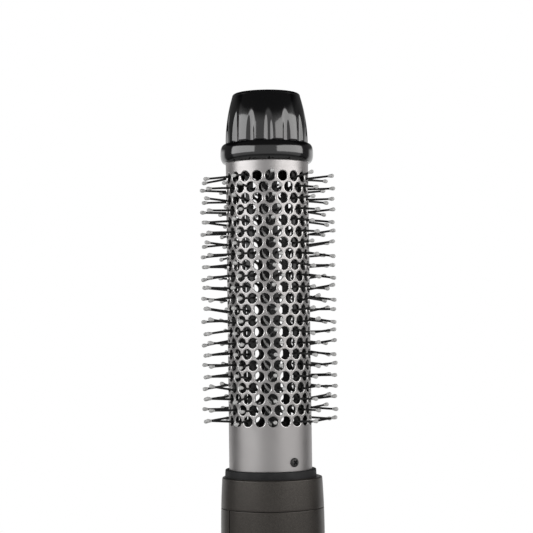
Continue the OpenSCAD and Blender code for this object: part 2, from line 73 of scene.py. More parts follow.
BARREL_R = half_width("barrel")
BARREL_WALL = 0.6
BARREL_IN = BARREL_R - BARREL_WALL
HOLE_R = 2.05
HOLE_LIP = 0.32  # the hole's edge is rolled over this much
HOLES_AROUND = 20
HOLE_STEP = 360 / HOLES_AROUND
HOLE_PHASE = 6
ROWS = 23
ROW_PITCH = 4.5
HANDLE_TOP = high("nose_ring")
FIRST_ROW = HANDLE_TOP + 24
LAST_ROW = FIRST_ROW + (ROWS - 1) * ROW_PITCH

STRIPS = 10
STRIP_STEP = 360 / STRIPS
STRIP_PHASE = HOLE_PHASE + HOLE_STEP / 4
COLUMN_X = BARREL_R * math.sin(math.radians(HOLE_STEP / 4))
BAR_OUT, BAR_IN = 16.0, 14.8
PEG_AT = 14.35  # the cam pegs' distance from the axis
BALL_R = 0.8
BALL_AT = 27.3
PIN_R = 0.475
LEAN_ALONG, LEAN_AROUND, LEAN_MIDDLE = 10.0, 3.5, 6.0

SHAFT_R = 2.5
RING_Z0, RING_Z1 = low("tip_ring"), high("tip_ring")
RING_BULGE = half_width("tip_ring") - BARREL_R
KNOB_Z0, KNOB_Z1 = RING_Z1 + 0.2, high("tip_knob")
KNOB_EDGE = 1.3
KNOB_TAPER = 2.9  # how much the knob's radius shrinks up to its rounded edge
CAP_R, CAP_SEAT = 7.2, 1.2  # the recess for the cap in the knob's top, and its depth
FLUTES, FLUTE_PHASE, FLUTE_R = 14, -5.3, 2.2
FLUTE_DEPTH = 0.93
FLUTE_AT = BARREL_R + FLUTE_R - FLUTE_DEPTH

COLLAR_R = 18.8
HANDLE_SHIFT = -1.0  # the handle's axis, along Y
WAIST_Z, WAIST_R = 55.0, 17.8
BELLY_Z, BELLY_R = 142.0, 21.2
TAIL_R = 19.2
NOSE_DROP = 0.7
NOSE_Z0 = HANDLE_TOP - 11.5
NOSE_RIM = 0.9  # how far the nose's rim stands up round the collar's foot
CAP_Z1 = 28.0
SHELL_WALL = 2.2
SPIGOT = 5.0  # how far the nose and the tail cap reach into the shells
WELL_R = 2.2  # of the shell screws' wells
SEAM = 0.1  # half of the gap where two outer parts of the handle meet
SWITCH_Z = 104.0
SWITCH_TRAVEL = 9.0
SCREW_Z = (104.0, 143.0)
GLAND_R = 6.0


def smooth_step(u):
    return u * u * (3 - 2 * u)


def handle_r(z):
    """Outer radius of the handle at height z."""
    if z < WAIST_Z:
        return WAIST_R + (TAIL_R - WAIST_R) * smooth_step((WAIST_Z - z) / WAIST_Z)
    if z < BELLY_Z:
        return WAIST_R + (BELLY_R - WAIST_R) * smooth_step((z - WAIST_Z) / (BELLY_Z - WAIST_Z))
    return BELLY_R - NOSE_DROP * ((z - BELLY_Z) / (HANDLE_TOP - BELLY_Z)) ** 2.5


def knob_r(z):
    """Outer radius of the knob's lands at height z."""
    return BARREL_R - KNOB_TAPER * (max(z - KNOB_Z0, 0) / (KNOB_Z1 - KNOB_Z0 - KNOB_EDGE)) ** 2


def ring_r(u):
    """Radius of the tip ring at a share u of its half height above or below its middle."""
    return BARREL_R + RING_BULGE * max(1 - abs(u) ** 2.4, 0) ** (1 / 2.4)


def scatter(n, k):
    """A number from -1 to 1 that looks random and is the same each time."""
    x = n * n * k
    return 2 * (x - math.floor(x)) - 1


def turned(azimuth):
    """The matrix that turns what points along -Y to an azimuth."""
    return Matrix.Rotation(math.radians(azimuth), 4, "Z")


def span(a, b, n):
    """n + 1 evenly spaced values from a to b."""
    return [a + (b - a) * i / n for i in range(n + 1)]


# ---------------------------------------------------------------- mesh tools


class Mesh:
    """Gathers points and faces, with a material number for each face."""

    def __init__(self):
        self.points, self.faces, self.tags = [], [], []
        self.found = {}

    def point(self, p):
        self.points.append(Vector(p))
        return len(self.points) - 1

    def shared(self, p):
        """The point at p, made once however many faces meet there."""
        key = tuple(round(c * 5000) for c in p)
        if key not in self.found:
            self.found[key] = self.point(p)
        return self.found[key]

    def face(self, corners, tag):
        self.faces.append(tuple(corners))
        self.tags.append(tag)

    def band(self, one, two, tag):
        """Quads between two loops of point numbers, or triangles where a loop is a single point."""
        count = max(len(one), len(two))
        for i in range(count):
            j = (i + 1) % count
            if len(one) == 1:
                self.face((one[0], two[j], two[i]), tag)
            elif len(two) == 1:
                self.face((one[i], one[j], two[0]), tag)
            else:
                self.face((one[i], one[j], two[j], two[i]), tag)

    def loft(self, loops, tag=0, ends=True, closed_path=False):
        """Joins loops of points into a skin, and closes its ends."""
        rows = [[self.point(p) for p in loop] for loop in loops]
        for a, b in zip(rows, rows[1:] + (rows[:1] if closed_path else [])):
            self.band(a, b, tag)
        if ends and not closed_path:
            for row in (rows[0][::-1], rows[-1]):
                if len(row) > 2:
                    self.face(row, tag)

    def spin(self, profile, segments, tag=0, place=Matrix(), radius=None, closed=True):
        """Turns (r, z) points, or (r, z, shift along y), round Z. radius(azimuth, r, z) may reshape it."""
        loops = []
        for r, z, *shift in profile:
            y = shift[0] if shift else 0
            if r < 1e-6:
                loops.append([place @ Vector((0, y, z))])
                continue
            loop = []
            for i in range(segments):
                a = 2 * math.pi * i / segments
                q = radius(a, r, z) if radius else r
                loop.append(place @ Vector((q * math.sin(a), y - q * math.cos(a), z)))
            loops.append(loop)
        self.loft(loops, tag, ends=False, closed_path=closed)

    def object(self, name, materials, sharp=32):
        """The finished piece, in metres, smooth except along edges sharper than an angle."""
        data = bpy.data.meshes.new(name)
        data.from_pydata([p * MM for p in self.points], [], self.faces)
        for m in materials:
            data.materials.append(m)
        data.polygons.foreach_set("material_index", self.tags)
        return finished(name, data, sharp)


def finished(name, data, sharp=32):
    """An object with outward normals and smooth shading."""
    bm = bmesh.new()
    bm.from_mesh(data)
    bmesh.ops.remove_doubles(bm, verts=bm.verts, dist=1e-7)
    bmesh.ops.recalc_face_normals(bm, faces=bm.faces)
    bm.to_mesh(data)
    bm.free()
    data.polygons.foreach_set("use_smooth", [True] * len(data.polygons))
    data.set_sharp_from_angle(angle=math.radians(sharp))
    data.update()
    obj = bpy.data.objects.new(name, data)
    bpy.context.scene.collection.objects.link(obj)
    return obj


def rounded(corners, steps=4):
    """An outline with its corners (x, y, radius) rounded. A radius of 0 keeps the corner."""
    out = []
    n = len(corners)
    for i, (x, y, r) in enumerate(corners):
        p = Vector((x, y))
        if r == 0:
            out.append((x, y))
            continue
        to_last = (Vector(corners[i - 1][:2]) - p).normalized()
        to_next = (Vector(corners[(i + 1) % n][:2]) - p).normalized()
        half = to_last.angle(to_next) / 2
        centre = p + (to_last + to_next).normalized() * (r / math.sin(half))
        first = p + to_last * (r / math.tan(half)) - centre
        turn = first.angle_signed(p + to_next * (r / math.tan(half)) - centre)
        for k in range(steps + 1):
            v = first.copy()
            v.rotate(Matrix.Rotation(-turn * k / steps, 2))
            out.append(tuple(centre + v))
    return out


def arc(cx, cy, r, a0, a1, steps):
    """Points of an arc from angle a0 to a1, in degrees."""
    turns = [math.radians(a) for a in span(a0, a1, steps)]
    return [(cx + r * math.cos(t), cy + r * math.sin(t)) for t in turns]


def cut(obj, cutters):
    """Takes the cutters away from obj and deletes them."""
    for cutter in cutters:
        tool = obj.modifiers.new("cut", "BOOLEAN")
        tool.operation, tool.solver, tool.object = "DIFFERENCE", "EXACT", cutter
    bpy.context.view_layer.update()
    graph = bpy.context.evaluated_depsgraph_get()
    data = bpy.data.meshes.new_from_object(obj.evaluated_get(graph))
    name = obj.name
    for o in [obj, *cutters]:
        bpy.data.objects.remove(o)
    return finished(name, data)


def plate_loop(w, h, r, y, place, steps=5):
    """A rounded rectangle in the XZ plane at a given y."""
    corners = [(w / 2, -h / 2, r), (w / 2, h / 2, r), (-w / 2, h / 2, r), (-w / 2, -h / 2, r)]
    return [place @ Vector((x, y, z)) for x, z in rounded(corners, steps)]


def add_plate(mesh, w, h, r, y0, y1, edge, place):
    """A rounded plate from y0 out to y1, its outer edge rolled by edge."""
    loops = [plate_loop(w, h, r, y0, place)]
    for a in span(0, 90, 4):
        s = edge * (1 - math.cos(math.radians(a)))
        y = y1 + edge * (1 - math.sin(math.radians(a)))
        loops.append(plate_loop(w - 2 * s, h - 2 * s, max(r - s, 0.05), y, place))
    for k in range(1, 4):
        s = edge + (r - edge) * 0.3 * k
        loops.append(plate_loop(w - 2 * s, h - 2 * s, max(r - s, 0.05), y1, place))
    mesh.loft(loops)


def place_piece(obj, body, slot, *nodes):
    """Rides a piece on its body in place of CAD nodes. Its slot argument is not used."""
    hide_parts(*nodes)
    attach(obj, body)


# ---------------------------------------------------------------- materials


class Look:
    """A principled material with a few shorthands for its nodes."""

    def __init__(self, name, colour, rough, metal=0.0, **sockets):
        self.material = bpy.data.materials.new(name)
        self.material.use_nodes = True
        self.nodes = self.material.node_tree.nodes
        self.links = self.material.node_tree.links
        self.shader = self.nodes["Principled BSDF"]
        self.set("Base Color", (*colour, 1))
        self.set("Roughness", rough)
        self.set("Metallic", metal)
        for key, value in sockets.items():
            self.set(key.replace("_", " "), value)
        self.where = self.nodes.new("ShaderNodeTexCoord").outputs["Object"]

    def set(self, socket, value):
        self.shader.inputs[socket].default_value = value

    def noise(self, scale, detail, stretch=(1, 1, 1), rough=0.5):
        """A noise field whose features are about 1 / scale metres across."""
        mapping = self.nodes.new("ShaderNodeMapping")
        mapping.inputs["Scale"].default_value = stretch
        self.links.new(self.where, mapping.inputs["Vector"])
        field = self.nodes.new("ShaderNodeTexNoise")
        field.inputs["Scale"].default_value = scale
        field.inputs["Detail"].default_value = detail
        field.inputs["Roughness"].default_value = rough
        self.links.new(mapping.outputs["Vector"], field.inputs["Vector"])
        return field.outputs["Fac"]

    def cells(self, scale):
        """A field of small cells, each with its own value."""
        field = self.nodes.new("ShaderNodeTexVoronoi")
        field.inputs["Scale"].default_value = scale
        self.links.new(self.where, field.inputs["Vector"])
        split = self.nodes.new("ShaderNodeSeparateColor")
        self.links.new(field.outputs["Color"], split.inputs["Color"])
        return split.outputs["Red"]

    def ranged(self, value, low_out, high_out, low_in=0.3, high_in=0.7):
        """value rescaled from an input range to an output range."""
        node = self.nodes.new("ShaderNodeMapRange")
        for socket, number in (
            ("From Min", low_in),
            ("From Max", high_in),
            ("To Min", low_out),
            ("To Max", high_out),
        ):
            node.inputs[socket].default_value = number
        self.links.new(value, node.inputs["Value"])
        return node.outputs["Result"]

    def rough(self, value, low_out, high_out):
        self.links.new(self.ranged(value, low_out, high_out), self.shader.inputs["Roughness"])

    def tint(self, value, first, second, low_in=0.35, high_in=0.65):
        """Colours the surface between two colours."""
        ramp = self.nodes.new("ShaderNodeValToRGB")
        ramp.color_ramp.elements[0].position = low_in
        ramp.color_ramp.elements[1].position = high_in
        ramp.color_ramp.elements[0].color = (*first, 1)
        ramp.color_ramp.elements[1].color = (*second, 1)
        self.links.new(value, ramp.inputs["Fac"])
        self.links.new(ramp.outputs["Color"], self.shader.inputs["Base Color"])

    def bump(self, value, depth):
        """Raises the surface by depth metres over the field."""
        node = self.nodes.new("ShaderNodeBump")
        node.inputs["Distance"].default_value = depth
        self.links.new(value, node.inputs["Height"])
        self.links.new(node.outputs["Normal"], self.shader.inputs["Normal"])


def gloss_black():
    look = Look("gloss_black", (0.004, 0.004, 0.0045), 0.1, IOR=1.55, Coat_Weight=1.0, Coat_Roughness=0.03,
                Coat_IOR=1.55)
    look.rough(look.noise(90, 4), 0.07, 0.16)
    look.bump(look.noise(260, 2), 0.00002)
    return look.material


def satin_metal():
    look = Look("satin_metal", (0.52, 0.5, 0.495), 0.4, 1.0)
    look.tint(look.noise(45, 4), (0.5, 0.482, 0.478), (0.54, 0.522, 0.517))
    grain = look.noise(900, 3, (1, 1, 9))
    look.rough(look.noise(160, 5), 0.38, 0.45)
    look.bump(grain, 0.000006)
    return look.material


def polished_rim():
    look = Look("polished_rim", (0.86, 0.85, 0.84), 0.28, 1.0)
    look.rough(look.noise(700, 3), 0.22, 0.36)
    return look.material


def inner_painted_shade():
    # painted shade: the inside of the barrel is coloured near black to stand in for the shade inside the tube
    look = Look("inner_painted_shade", (0.09, 0.088, 0.085), 0.55, 0.7)
    look.tint(look.noise(120, 4), (0.06, 0.058, 0.056), (0.12, 0.115, 0.11))
    look.rough(look.noise(400, 4), 0.5, 0.66)
    return look.material


def handle_paint():
    look = Look("handle_paint", (0.0715, 0.064, 0.057), 0.36, 0.6, Coat_Weight=0.12, Coat_Roughness=0.25)
    flakes = look.cells(9000)
    look.tint(flakes, (0.0515, 0.046, 0.041), (0.1025, 0.092, 0.082), 0.2, 0.9)
    look.rough(look.noise(120, 4), 0.33, 0.42)
    look.bump(look.noise(3500, 2), 0.00001)
    return look.material


def matt_black():
    look = Look("matt_black", (0.01, 0.01, 0.011), 0.6)
    look.tint(look.noise(300, 4), (0.008, 0.008, 0.009), (0.013, 0.013, 0.014))
    look.rough(look.noise(200, 4), 0.52, 0.68)
    look.bump(look.noise(4200, 2), 0.00003)
    return look.material


def black_nylon():
    look = Look("black_nylon", (0.008, 0.008, 0.008), 0.38)
    look.rough(look.noise(1500, 3), 0.3, 0.46)
    look.bump(look.noise(2500, 2, (1, 1, 0.3)), 0.00001)
    return look.material


def pale_drop():
    look = Look("pale_drop", (0.74, 0.74, 0.73), 0.3)
    look.tint(look.noise(900, 3), (0.68, 0.68, 0.67), (0.8, 0.8, 0.79))
    look.rough(look.noise(1800, 2), 0.22, 0.4)
    return look.material


def blackened_steel():
    look = Look("blackened_steel", (0.075, 0.075, 0.075), 0.4, 0.7)
    look.tint(look.noise(1600, 4), (0.06, 0.06, 0.06), (0.1, 0.098, 0.096))
    look.rough(look.noise(1500, 3), 0.34, 0.55)
    return look.material


def plated_steel():
    look = Look("plated_steel", (0.58, 0.57, 0.55), 0.32, 1.0)
    look.rough(look.noise(500, 4, (1, 1, 6)), 0.25, 0.42)
    look.bump(look.noise(1500, 3, (1, 1, 8)), 0.000004)
    return look.material


def moulded(name, colour, rough):
    """A plain moulding with a fine spark-eroded grain and slightly uneven colour."""
    look = Look(name, colour, rough)
    look.tint(look.noise(250, 4), tuple(c * 0.9 for c in colour), tuple(min(c * 1.08, 1) for c in colour))
    look.rough(look.noise(180, 3), rough - 0.06, rough + 0.08)
    look.bump(look.noise(2600, 2), 0.00002)
    return look.material


def mica_sheet():
    look = Look("mica_sheet", (0.7, 0.6, 0.4), 0.4)
    look.tint(look.noise(220, 6, (1, 1, 0.5), 0.7), (0.5, 0.4, 0.24), (0.8, 0.72, 0.52))
    look.rough(look.noise(320, 4), 0.25, 0.6)
    return look.material


def lacquered_copper():
    look = Look("lacquered_copper", (0.55, 0.26, 0.12), 0.35, 0.8)
    look.tint(look.noise(2200, 2, (1, 1, 7)), (0.35, 0.15, 0.07), (0.62, 0.33, 0.16))
    look.bump(look.noise(2200, 2, (1, 1, 7)), 0.00006)
    return look.material


def ferrite():
    look = Look("ferrite", (0.045, 0.045, 0.05), 0.6, 0.2)
    look.rough(look.noise(900, 4), 0.5, 0.75)
    look.bump(look.noise(2600, 4), 0.00004)
    return look.material


def heat_wire():
    look = Look("heat_wire", (0.34, 0.3, 0.27), 0.4, 1.0)
    look.tint(look.noise(400, 4), (0.22, 0.19, 0.2), (0.42, 0.37, 0.3))
    look.rough(look.noise(900, 3), 0.3, 0.55)
    return look.material


LOOKS = {
    "gloss_black": gloss_black(),
    "barrel_metal": satin_metal(),
    "handle_plastic": handle_paint(),
    "matte_black": matt_black(),
    "nylon_black": black_nylon(),
    "tip_grey": pale_drop(),
    "acetal": moulded("acetal", (0.72, 0.7, 0.64), 0.35),
    "steel": plated_steel(),
    "black_screw": blackened_steel(),
    "mica": mica_sheet(),
    "heater_wire": heat_wire(),
    "thermostat_metal": plated_steel(),
    "slider_grey": moulded("slider_grey", (0.42, 0.42, 0.41), 0.42),
    "inner_plastic": moulded("inner_plastic", (0.05, 0.05, 0.053), 0.5),
    "fan_plastic": moulded("fan_plastic", (0.7, 0.7, 0.68), 0.4),
    "board_green": moulded("board_green", (0.02, 0.12, 0.05), 0.3),
    "magnet": ferrite(),
    "armature": lacquered_copper(),
    "black_rubber": moulded("black_rubber", (0.015, 0.015, 0.015), 0.62),
}
RIM, INNER_SHADE = polished_rim(), inner_painted_shade()
WHITE_PRINT = moulded("white_print", (0.7, 0.7, 0.68), 0.5)


def paint_cad_nodes():
    """Gives every CAD node the look of its material slot."""
    for part in frame["record"]["subparts"]:
        node = frame["nodes"][part["node"]]
        node.data.materials.clear()
        node.data.materials.append(LOOKS[part["material_slot"]])


# ---------------------------------------------------------------- tip


def flute_edge(azimuth):
    """Distance from the axis to a flute's surface at an azimuth in radians, or 99 between flutes."""
    step = 2 * math.pi / FLUTES
    off = (azimuth - math.radians(FLUTE_PHASE) + step / 2) % step - step / 2
    reach = FLUTE_R**2 - (FLUTE_AT * math.sin(off)) ** 2
    return FLUTE_AT * math.cos(off) - math.sqrt(reach) if reach > 0 else 99.0


def soft_min(a, b, width):
    """The smaller of two numbers, blended where they are within width of each other."""
    if abs(a - b) >= width:
        return min(a, b)
    h = (width - abs(a - b)) / width
    return min(a, b) - h * h * width / 4


def build_knob():
    top_r = knob_r(KNOB_Z1 - KNOB_EDGE)
    side = [(knob_r(z), z) for z in span(KNOB_Z0 + 0.35, KNOB_Z1 - KNOB_EDGE, 72)]
    shoulder = arc(top_r - KNOB_EDGE, KNOB_Z1 - KNOB_EDGE, KNOB_EDGE, 0, 90, 8)[1:]
    outside = [(BARREL_R - 0.35, KNOB_Z0), (BARREL_R - 0.1, KNOB_Z0 + 0.1), *side, *shoulder]
    # a shallow step, then the seat of the cap
    crown = [(top_r - 2.6, KNOB_Z1), (top_r - 2.9, KNOB_Z1 - 0.12),
             (CAP_R + 0.25, KNOB_Z1 - 0.12), (CAP_R, KNOB_Z1 - 0.3)]
    seat = [(CAP_R, KNOB_Z1 - CAP_SEAT), (2.6, KNOB_Z1 - CAP_SEAT), (2.6, KNOB_Z1 - 4.6), (0, KNOB_Z1 - 4.6)]
    bore, hub_foot = SHAFT_R + 0.02, high("scroll_cam_upper")
    below = [(0, KNOB_Z0 + 9), (bore, KNOB_Z0 + 9), (bore, hub_foot), (6, hub_foot), (6, KNOB_Z0),
             (9.5, KNOB_Z0), (9.5, KNOB_Z0 + 1.6), (12.4, KNOB_Z0 + 1.6), (12.4, KNOB_Z0)]

    def fluted_radius(azimuth, r, z):
        if r < 12.5 or z > KNOB_Z1 - 0.2:
            return r
        return soft_min(r, flute_edge(azimuth), 0.55)

    mesh = Mesh()
    mesh.spin(outside + crown + seat, FLUTES * 34, radius=fluted_radius, closed=False)
    mesh.spin(below + outside[:1], FLUTES * 34, radius=fluted_radius, closed=False)
    knob = mesh.object("knob_shell", [LOOKS["gloss_black"]], 40)
    place_piece(knob, "knob_drive", "gloss_black", "tip_knob")


def build_shaft():
    """The drive shaft, with three helical ridges between its bearings: the ridges are pale as a painted
    highlight, and the grooves between them black as painted shade.
    """
    z0, z1 = low("drive_shaft"), high("drive_shaft")
    foot, neck = high("scroll_cam_lower"), low("guide_plate_upper") - 1
    lead, groove = 3 * ROW_PITCH, 0.6

    def ridged(azimuth, r, z):
        if r < SHAFT_R or not foot + 2 < z < neck:
            return r
        ease = min((z - foot - 2) / 2, (neck - z) / 2, 1)
        wave = math.cos(3 * (azimuth + 2 * math.pi * z / lead))
        return r - ease * groove * (1 - max(wave, 0))

    mesh = Mesh()
    below = [(0, z0), (SHAFT_R - 0.2, z0), (SHAFT_R, z0 + 0.2), (SHAFT_R, foot)]
    flange = [(SHAFT_R + 1, foot), (SHAFT_R + 1, foot + 0.3), (SHAFT_R, foot + 0.3)]
    body = [(SHAFT_R, z) for z in span(foot + 1, neck + 1, 300)]
    screw_hole = [(1.2, z1), (1.2, z1 - 7), (0, z1 - 7)]
    above = [(SHAFT_R, z1 - 0.2), (SHAFT_R - 0.2, z1), *screw_hole]
    mesh.spin([*below, *flange, *body, *above], 60, radius=ridged, closed=False)
    # painted shade: the grooves between the ridges are black, and the pale ridges are a painted highlight
    for i, corners in enumerate(mesh.faces):
        middle = sum((mesh.points[c] for c in corners), Vector()) / len(corners)
        mesh.tags[i] = int(foot < middle.z < neck and middle.xy.length < SHAFT_R - groove / 2)
    shaft = mesh.object("ridged_shaft", [LOOKS["tip_grey"], LOOKS["matte_black"]], 60)
    place_piece(shaft, "knob_drive", "steel", "drive_shaft")


def build_cap():
    z = KNOB_Z1 - 0.2
    outer = CAP_R - 0.1
    profile = rounded([(outer, z - 1, 0), (outer, z, 0.25), (5.9, z, 0.15), (5.7, z - 0.22, 0.12),
                       (5.2, z - 0.22, 0.12), (5.0, z - 0.02, 0.15), (1.2, z + 0.02, 0)])
    mesh = Mesh()
    mesh.spin([(0, z - 1), *profile, (0, z + 0.03)], 128, closed=False)
    plug = [(0, z - 2), (1.9, z - 2), (2.5, z - 2), (2.6, z - 1.9), (2.6, z - 1), (0, z - 1)]
    mesh.spin(plug, 48, closed=False)
    cap = mesh.object("knob_badge_cap", [LOOKS["gloss_black"]])
    place_piece(cap, "knob_drive", "gloss_black", "knob_cap")


def build_ring():
    middle, half = (RING_Z0 + RING_Z1) / 2, (RING_Z1 - RING_Z0) / 2
    shares = [math.sin(math.radians(a)) for a in span(-86, 84, 36)]
    bulge = [(ring_r(u), middle + half * u) for u in shares]
    profile = [(BARREL_R + 0.03, RING_Z0 + 0.4), (BARREL_R + 0.1, RING_Z0 + 0.08), *bulge,
               (BARREL_R - 0.2, RING_Z1), (9.7, RING_Z1), (9.6, RING_Z1 - 0.1), (9.6, RING_Z1 - 0.5),
               (6.06, RING_Z1 - 0.5), (6.06, high("barrel")), (BARREL_R + 0.03, high("barrel"))]
    mesh = Mesh()
    mesh.spin(profile, 256)
    place_piece(mesh.object("tip_collar", [LOOKS["gloss_black"]], 40), "handle", "gloss_black", "tip_ring")


# ---------------------------------------------------------------- barrel

CELL_EDGE = 5  # segments along each side of the six-sided cell round a hole


def cell_outline():
    """Corners of the cell round a hole, as (degrees, mm) from its centre, and points along its sides."""
    x = math.radians(HOLE_STEP / 2) * BARREL_R
    reach = (x * x + ROW_PITCH * ROW_PITCH) / 2
    apex, shoulder = reach / ROW_PITCH, (reach - x * x) / ROW_PITCH
    half = HOLE_STEP / 2
    corners = [(half, -shoulder), (half, shoulder), (0, apex),
               (-half, shoulder), (-half, -shoulder), (0, -apex)]
    out = []
    for (a0, z0), (a1, z1) in zip(corners, corners[1:] + corners[:1]):
        out += [(a0 + (a1 - a0) * i / CELL_EDGE, z0 + (z1 - z0) * i / CELL_EDGE) for i in range(CELL_EDGE)]
    return out, apex


def on_barrel(azimuth, z, r):
    a = math.radians(azimuth)
    return (r * math.sin(a), -r * math.cos(a), z)


def hole_loop(mesh, azimuth, z, outline, hole_r, barrel_r):
    """A ring round a hole, with one point for each point of its cell's outline."""
    loop = []
    for da, dz in outline:
        x = math.radians(da) * BARREL_R
        turn = math.atan2(dz, x)
        a = azimuth + math.degrees(math.asin(hole_r * math.cos(turn) / BARREL_R))
        loop.append(mesh.point(on_barrel(a, z + hole_r * math.sin(turn), barrel_r)))
    return loop


def build_barrel():
    outline, apex = cell_outline()
    mesh = Mesh()
    lip = [(HOLE_R + HOLE_LIP * (1 - math.sin(a)), BARREL_R - HOLE_LIP * (1 - math.cos(a)))
           for a in (math.radians(d) for d in (0, 30, 60, 90))]
    for row in range(ROWS):
        z = FIRST_ROW + row * ROW_PITCH
        for k in range(HOLES_AROUND):
            azimuth = HOLE_PHASE + (k + (row % 2) / 2) * HOLE_STEP
            outer = [mesh.shared(on_barrel(azimuth + da, z + dz, BARREL_R)) for da, dz in outline]
            inner = [mesh.shared(on_barrel(azimuth + da, z + dz, BARREL_IN)) for da, dz in outline]
            loops = [hole_loop(mesh, azimuth, z, outline, HOLE_R + HOLE_LIP + 0.06, BARREL_R)]
            loops += [hole_loop(mesh, azimuth, z, outline, r, at) for r, at in lip]
            loops += [hole_loop(mesh, azimuth, z, outline, HOLE_R, BARREL_IN + 0.06),
                      hole_loop(mesh, azimuth, z, outline, HOLE_R + 0.06, BARREL_IN)]
            mesh.band(outer, loops[0], 0)
            for i, (a, b) in enumerate(zip(loops, loops[1:])):
                mesh.band(a, b, 1 if 0 < i < 5 else 0)
            mesh.band(loops[-1], inner, 2)
    # plain bands above and below, joined to the zigzag edge of the cells
    columns = HOLES_AROUND * 2 * CELL_EDGE
    shoulder = outline[CELL_EDGE][1]
    top, bottom = high("barrel"), low("barrel")
    for row, sign, heights in (
        (ROWS - 1, 1, [LAST_ROW + apex + 0.5, LAST_ROW + apex + 1.6, top]),
        (0, -1, [FIRST_ROW - apex - 0.5, FIRST_ROW - apex - 3, FIRST_ROW - apex - 10, bottom]),
    ):
        start = HOLE_PHASE + (row % 2 - 1) * HOLE_STEP / 2
        azimuths = [start + c * HOLE_STEP / (2 * CELL_EDGE) for c in range(columns)]
        row_z = FIRST_ROW + row * ROW_PITCH
        loops = {}
        for at in (BARREL_R, BARREL_IN):
            edge = []
            for c, azimuth in enumerate(azimuths):
                off = (c % (2 * CELL_EDGE)) / (2 * CELL_EDGE)
                share = 1 - 2 * abs(off - 0.5)  # 0 at the cell's corner, 1 at its apex
                z = row_z + sign * (shoulder + (apex - shoulder) * share)
                edge.append(mesh.shared(on_barrel(azimuth, z, at)))
            rows = [edge]
            rows += [[mesh.shared(on_barrel(azimuth, z, at)) for azimuth in azimuths] for z in heights]
            for a, b in zip(rows, rows[1:]):
                mesh.band(a, b, 0 if at == BARREL_R else 2)
            loops[at] = rows[-1]
        mesh.band(loops[BARREL_R], loops[BARREL_IN], 0)
    # the third material, on the inside faces, is the painted shade inside the tube
    tube = mesh.object("perforated_barrel", [LOOKS["barrel_metal"], RIM, INNER_SHADE], 50)
    place_piece(tube, "handle", "barrel_metal", "barrel")


def cross_arm(place, angle):
    """A cutter for one arm of a cross recess, tapered towards its floor."""
    slot = Mesh()
    spin = place @ Matrix.Rotation(math.radians(angle), 4, "Z")
    corners = ((1, 0.3), (-1, 0.3), (-1, -0.3), (1, -0.3))
    sizes = ((0.1, 0.7), (0.9, 1.25))
    # painted shade: the cutter's faces take the second, matte black material, which the cut leaves on the
    # recess's walls
    slot.loft([[spin @ Vector((x * s, y * s, h)) for x, y in corners] for h, s in sizes], 1)
    return slot.object("slot", [LOOKS["black_screw"], LOOKS["matte_black"]])


def build_barrel_screws():
    z = (low("barrel_screws") + high("barrel_screws")) / 2
    parts = []
    for k in range(2):
        place = Matrix.Translation((0, 0, z)) @ turned(180 * k) @ Matrix.Translation((0, -BARREL_R, 0))
        place = place @ Matrix.Rotation(math.radians(90), 4, "X")
        head = rounded([(1.85, 0, 0), (1.85, 0.4, 0.22), (1.2, 0.72, 0.5), (0.6, 0.79, 0)])
        mesh = Mesh()
        mesh.spin([(0, -2.6), (0.9, -2.6), (0.9, 0), *head, (0, 0.8)], 48, place=place, closed=False)
        # the second material is the painted shade inside the cross recess
        screw = mesh.object(f"screw_{k}", [LOOKS["black_screw"], LOOKS["matte_black"]])
        parts.append(cut(screw, [cross_arm(place, 45), cross_arm(place, 135)]))
    joined("barrel_fixings", parts, "handle", "black_screw", "barrel_screws")


def joined(name, parts, body, slot, *nodes):
    """Several meshes as one piece."""
    data = bpy.data.meshes.new(name)
    bm = bmesh.new()
    for part in parts:
        bm.from_mesh(part.data)
    bm.to_mesh(data)
    bm.free()
    for m in parts[0].data.materials:
        data.materials.append(m)
    for part in parts:
        bpy.data.objects.remove(part)
    place_piece(finished(name, data), body, slot, *nodes)


def build_collar():
    z0, z1 = low("collar"), high("collar")
    profile = rounded([(BARREL_R + 0.05, z0, 0), (COLLAR_R, z0, 0.1), (18.62, z1, 0.45), (17.45, z1, 0.2),
                       (17.3, z1 - 0.25, 0), (BARREL_R + 0.05, z1 - 0.25, 0)])
    mesh = Mesh()
    mesh.spin(profile, 192)
    place_piece(mesh.object("collar_ring", [LOOKS["matte_black"]]), "handle", "matte_black", "collar")


# ---------------------------------------------------------------- bristles


def bristle_place(strip, row):
    """The matrix of a bristle: +Z along it, its origin on the bar's face."""
    m = strip * ROWS + row + 1
    along = math.radians(LEAN_ALONG * scatter(m, 0.6180339887))
    around = math.radians(LEAN_AROUND * scatter(m, 0.7548776662))
    side = -1 if row % 2 == 0 else 1
    base = Vector((side * COLUMN_X, -BAR_OUT, FIRST_ROW + row * ROW_PITCH - LEAN_MIDDLE * math.tan(along)))
    lean = Matrix.Rotation(around, 4, "Z") @ Matrix.Rotation(-along, 4, "X")
    outwards = Matrix.Rotation(math.radians(90), 4, "X")
    return turned(STRIP_PHASE + strip * STRIP_STEP) @ Matrix.Translation(base) @ lean @ outwards


def bent(place, strip, row, reach):
    """A function that bends a bristle's points a little, more towards its end."""
    m = strip * ROWS + row + 1
    sway = 0.22 * scatter(m, 0.5698402909)
    dip = 0.3 * scatter(m, 0.8191725134)

    def move(p):
        share = max(p.z, 0) / reach
        return place @ (p + Vector((sway, dip, 0)) * share * (share - 1))

    return move


def spin_bent(mesh, profile, segments, move):
    """Turns (r, z) points round a bristle's own axis, then bends them."""
    loops = []
    for r, z in profile:
        if r < 1e-6:
            loops.append([move(Vector((0, 0, z)))])
        else:
            loops.append([move(Vector((r * math.cos(a), r * math.sin(a), z)))
                          for a in (2 * math.pi * i / segments for i in range(segments))])
    mesh.loft(loops, ends=False)


